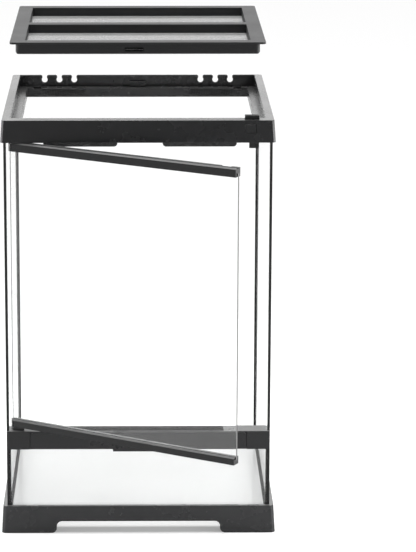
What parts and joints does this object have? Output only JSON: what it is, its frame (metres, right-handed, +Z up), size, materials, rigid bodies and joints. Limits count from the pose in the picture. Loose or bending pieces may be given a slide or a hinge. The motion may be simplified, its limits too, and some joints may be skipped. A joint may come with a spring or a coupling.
{
  "type": "reptile terrarium",
  "caption": "Tall glass terrarium with black plastic frames, a hinged front door over a vent bar, cable inlets and a lift-off mesh screen lid.",
  "frame": {"origin": "middle of the base on the ground plane", "axes": "+X to the right seen from the front, +Y to the back, +Z up"},
  "size_m": [0.313, 0.4489, 0.565],
  "materials": {
    "black_plastic": "satin moulded",
    "dark_trim": "satin moulded",
    "clear_glass": "clear",
    "black_silicone": "silicone",
    "black_tape": "matt",
    "steel_pin": "turned",
    "mesh": "fine woven wire"
  },
  "bodies": {
    "terrarium": {"base_front": "black_plastic", "base_back": "black_plastic", "base_left": "black_plastic", "base_right": "black_plastic", "floor_glass": "clear_glass", "back_glass": "clear_glass", "left_glass": "clear_glass", "right_glass": "clear_glass", "front_glass": "clear_glass", "bead_floor": "black_silicone", "bead_back_left": "black_silicone", "bead_back_right": "black_silicone", "bead_front_left": "black_silicone", "bead_front_right": "black_silicone", "edge_strip_left": "black_tape", "edge_strip_right": "black_tape", "vent_bar": "black_plastic", "vent_fascia": "black_plastic", "vent_grille": "dark_trim", "frame_front": "black_plastic", "front_ledge": "black_plastic", "frame_back": "black_plastic", "frame_left": "black_plastic", "frame_right": "black_plastic", "cable_comb_left": "black_plastic", "cable_comb_right": "black_plastic", "inlet_floor_left": "black_plastic", "inlet_floor_right": "black_plastic", "latch_cover": "dark_trim", "hinge_pin_top": "steel_pin", "hinge_pin_bottom": "steel_pin"},
    "door": {"door_glass": "clear_glass", "door_top_rail": "black_plastic", "door_bottom_rail": "black_plastic"},
    "latch": {"latch": "dark_trim"},
    "inlet_slider_left": {"inlet_slider_left": "dark_trim"},
    "inlet_slider_right": {"inlet_slider_right": "dark_trim"},
    "lid_catch_rear": {"lid_catch_rear": "dark_trim"},
    "lid_catch_front": {"lid_catch_front": "dark_trim"},
    "lid": {"lid_frame": "black_plastic", "lid_retainer": "black_plastic", "lid_screen_front": "mesh", "lid_screen_rear": "mesh"}
  },
  "joints": [
    {"name": "door_swing", "type": "hinge", "parent": "terrarium", "child": "door", "pos_m": [-0.1395, -0.1433, 0.28], "axis": [0, 0, -1], "range_deg": [-30.5, 69.5]},
    {"name": "latch_lift", "type": "slide", "parent": "terrarium", "child": "latch", "axis": [0, 0, 1], "range_m": [-0.0015, 0.008]},
    {"name": "inlet_left_slide", "type": "slide", "parent": "terrarium", "child": "inlet_slider_left", "axis": [-1, 0, 0], "range_m": [0, 0.009]},
    {"name": "inlet_right_slide", "type": "slide", "parent": "terrarium", "child": "inlet_slider_right", "axis": [1, 0, 0], "range_m": [0, 0.009]},
    {"name": "lid_catch_rear_slide", "type": "slide", "parent": "terrarium", "child": "lid_catch_rear", "axis": [0, -1, 0], "range_m": [0, 0.0026]},
    {"name": "lid_catch_front_slide", "type": "slide", "parent": "terrarium", "child": "lid_catch_front", "axis": [0, 1, 0], "range_m": [0, 0.0026]},
    {"name": "lid_lift", "type": "slide", "parent": "terrarium", "child": "lid", "axis": [0, 0, 1], "range_m": [-0.085, 0.05]}
  ]
}
